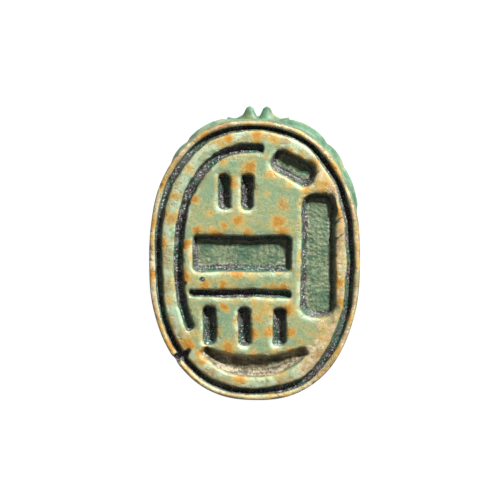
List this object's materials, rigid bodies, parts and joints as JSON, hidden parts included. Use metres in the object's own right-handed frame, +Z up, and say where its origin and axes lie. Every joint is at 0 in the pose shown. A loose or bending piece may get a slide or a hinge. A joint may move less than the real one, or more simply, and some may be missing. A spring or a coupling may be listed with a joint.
{
  "type": "scarab seal",
  "caption": "Oval beetle-shaped stone seal lying on its back, with a flat face of sunk strokes inside a grooved border, carved legs and a lengthwise string bore.",
  "frame": {"origin": "centre of the bounding box on the surface it lies on, under the crown of the back", "axes": "+Z up through the seal face, +Y lengthwise towards the beetle's head, +X across"},
  "size_m": [0.0128, 0.0172, 0.0076],
  "materials": {
    "glazed_steatite": "worn green glaze with ochre spots, cream worn edges and dark residue in the cuts"
  },
  "bodies": {
    "root": {"scarab": "glazed_steatite"}
  },
  "joints": []
}
